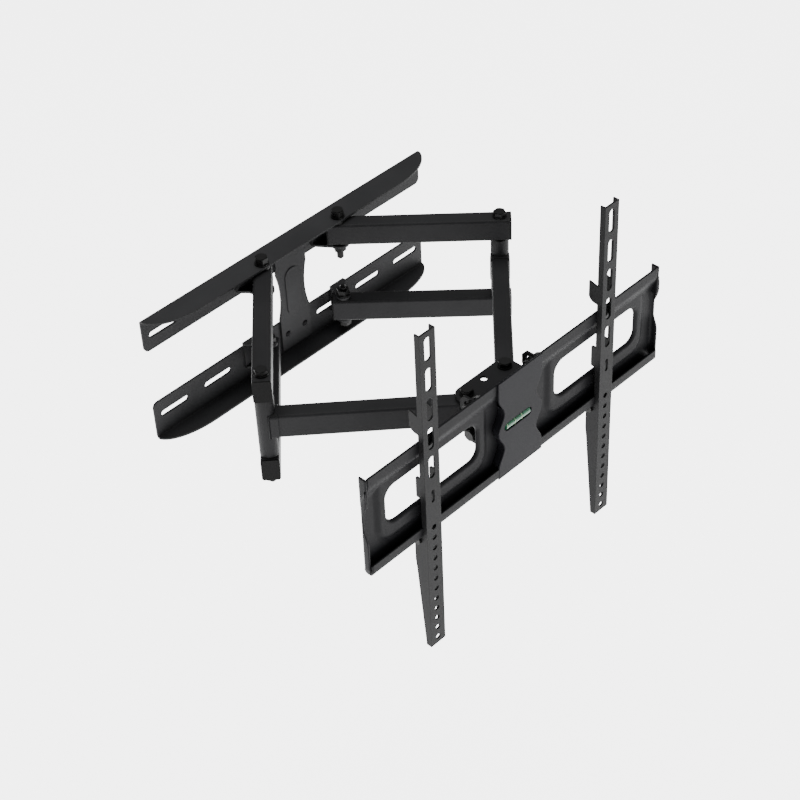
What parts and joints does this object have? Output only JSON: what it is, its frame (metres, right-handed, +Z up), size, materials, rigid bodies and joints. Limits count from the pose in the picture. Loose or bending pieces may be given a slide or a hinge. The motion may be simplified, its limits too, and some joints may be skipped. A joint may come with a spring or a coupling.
{
  "type": "full motion tv wall mount",
  "caption": "Folding twin-arm wall mount for a television: slotted wall rails, elbow arms, tilting head, wide pressed plate and upright brackets.",
  "frame": {"origin": "on the wall's surface at the back of the wall plate, midway between its two rows of slots and between its ends", "axes": "+X to the right when facing the wall, +Y into the wall, +Z up; the television side is towards -Y"},
  "size_m": [0.458, 0.3593, 0.43],
  "materials": {
    "wall_steel": "satin black powder coat, slightly textured",
    "arm_steel": "satin black powder coat, slightly textured",
    "head_steel": "satin black powder coat, slightly textured",
    "plate_steel": "satin charcoal powder coat on pressed sheet",
    "bracket_steel": "satin charcoal powder coat on folded sheet",
    "rivet_steel": "satin black",
    "fastener_steel": "black oxide, slightly glossy",
    "cap_plastic": "fine grained black",
    "cover_plastic": "fine grained charcoal",
    "housing_plastic": "fine grained black",
    "bush_plastic": "black nylon, slightly waxy",
    "vial_plastic": "clear green acrylic",
    "level_liquid": "green tinted liquid",
    "level_bubble": "air bubble"
  },
  "bodies": {
    "wall": {"upper_rail": "wall_steel", "lower_rail": "wall_steel", "centre_column": "wall_steel", "column_rivets": "rivet_steel", "upper_pivot_ear_left": "wall_steel", "upper_pivot_ear_right": "wall_steel", "lower_pivot_clevis_left": "wall_steel", "lower_pivot_clevis_right": "wall_steel", "wall_pivot_bolts": "fastener_steel", "wall_pivot_nuts": "fastener_steel"},
    "inner_left": {"upper_inner_arm_left": "arm_steel", "lower_inner_arm_left": "arm_steel", "inner_end_caps_left": "cap_plastic", "wall_bushes_left": "bush_plastic", "elbow_bolt_left": "fastener_steel", "elbow_nut_left": "fastener_steel"},
    "inner_right": {"upper_inner_arm_right": "arm_steel", "lower_inner_arm_right": "arm_steel", "inner_end_caps_right": "cap_plastic", "wall_bushes_right": "bush_plastic", "elbow_bolt_right": "fastener_steel", "elbow_nut_right": "fastener_steel"},
    "forearm_left": {"forearm_tube_left": "arm_steel", "elbow_barrel_left": "arm_steel", "elbow_bushes_left": "bush_plastic", "head_barrel_left": "arm_steel", "head_bushes_left": "bush_plastic"},
    "forearm_right": {"forearm_tube_right": "arm_steel", "elbow_barrel_right": "arm_steel", "elbow_bushes_right": "bush_plastic", "head_barrel_right": "arm_steel", "head_bushes_right": "bush_plastic"},
    "head": {"head_bracket": "head_steel", "head_bolts": "fastener_steel", "head_nuts": "fastener_steel", "tilt_pivot_bolts": "fastener_steel", "tilt_pivot_nuts": "fastener_steel", "tilt_lock_rod": "fastener_steel", "tilt_lock_nuts": "fastener_steel"},
    "screen_plate": {"tilt_bracket": "head_steel", "tilt_bracket_screws": "fastener_steel", "tv_plate": "plate_steel", "centre_cover": "cover_plastic", "level_housing": "housing_plastic", "level_vial": "vial_plastic", "level_liquid": "level_liquid", "level_bubble": "level_bubble"},
    "screen_bracket_left": {"bracket_left": "bracket_steel", "bracket_lock_left": "fastener_steel"},
    "screen_bracket_right": {"bracket_right": "bracket_steel", "bracket_lock_right": "fastener_steel"}
  },
  "joints": [
    {"name": "arm_extend", "type": "hinge", "parent": "wall", "child": "inner_left", "pos_m": [-0.059, -0.0255, 0], "axis": [0, 0, 1], "range_deg": [-41, 32]},
    {"name": "elbow_left", "type": "hinge", "parent": "inner_left", "child": "forearm_left", "pos_m": [-0.18497, -0.15824, 0], "axis": [0, 0, 1], "range_deg": [-61.19, 78.37]},
    {"name": "head_swing", "type": "hinge", "parent": "forearm_left", "child": "head", "pos_m": [-0.03, -0.30291, 0], "axis": [0, 0, 1], "range_deg": [-37.37, 29.19]},
    {"name": "arm_right", "type": "hinge", "parent": "wall", "child": "inner_right", "pos_m": [0.059, -0.0255, 0], "axis": [0, 0, 1], "range_deg": [-32.1, 41.1]},
    {"name": "elbow_right", "type": "hinge", "parent": "inner_right", "child": "forearm_right", "pos_m": [0.18497, -0.15824, 0], "axis": [0, 0, 1], "range_deg": [-78.37, 61.19]},
    {"name": "tilt", "type": "hinge", "parent": "head", "child": "screen_plate", "pos_m": [0, -0.32921, 0.004], "axis": [1, 0, 0], "range_deg": [-5, 12]},
    {"name": "bracket_slide_left", "type": "slide", "parent": "screen_plate", "child": "screen_bracket_left", "axis": [1, 0, 0], "range_m": [-0.032, 0.059]},
    {"name": "bracket_slide_right", "type": "slide", "parent": "screen_plate", "child": "screen_bracket_right", "axis": [1, 0, 0], "range_m": [-0.05, 0.042]}
  ],
  "couplings": [
    {"joint": "elbow_left", "follows": "arm_extend", "ratio": -1.909},
    {"joint": "head_swing", "follows": "arm_extend", "ratio": 0.909},
    {"joint": "arm_right", "follows": "arm_extend", "ratio": -1},
    {"joint": "elbow_right", "follows": "arm_extend", "ratio": 1.909}
  ]
}
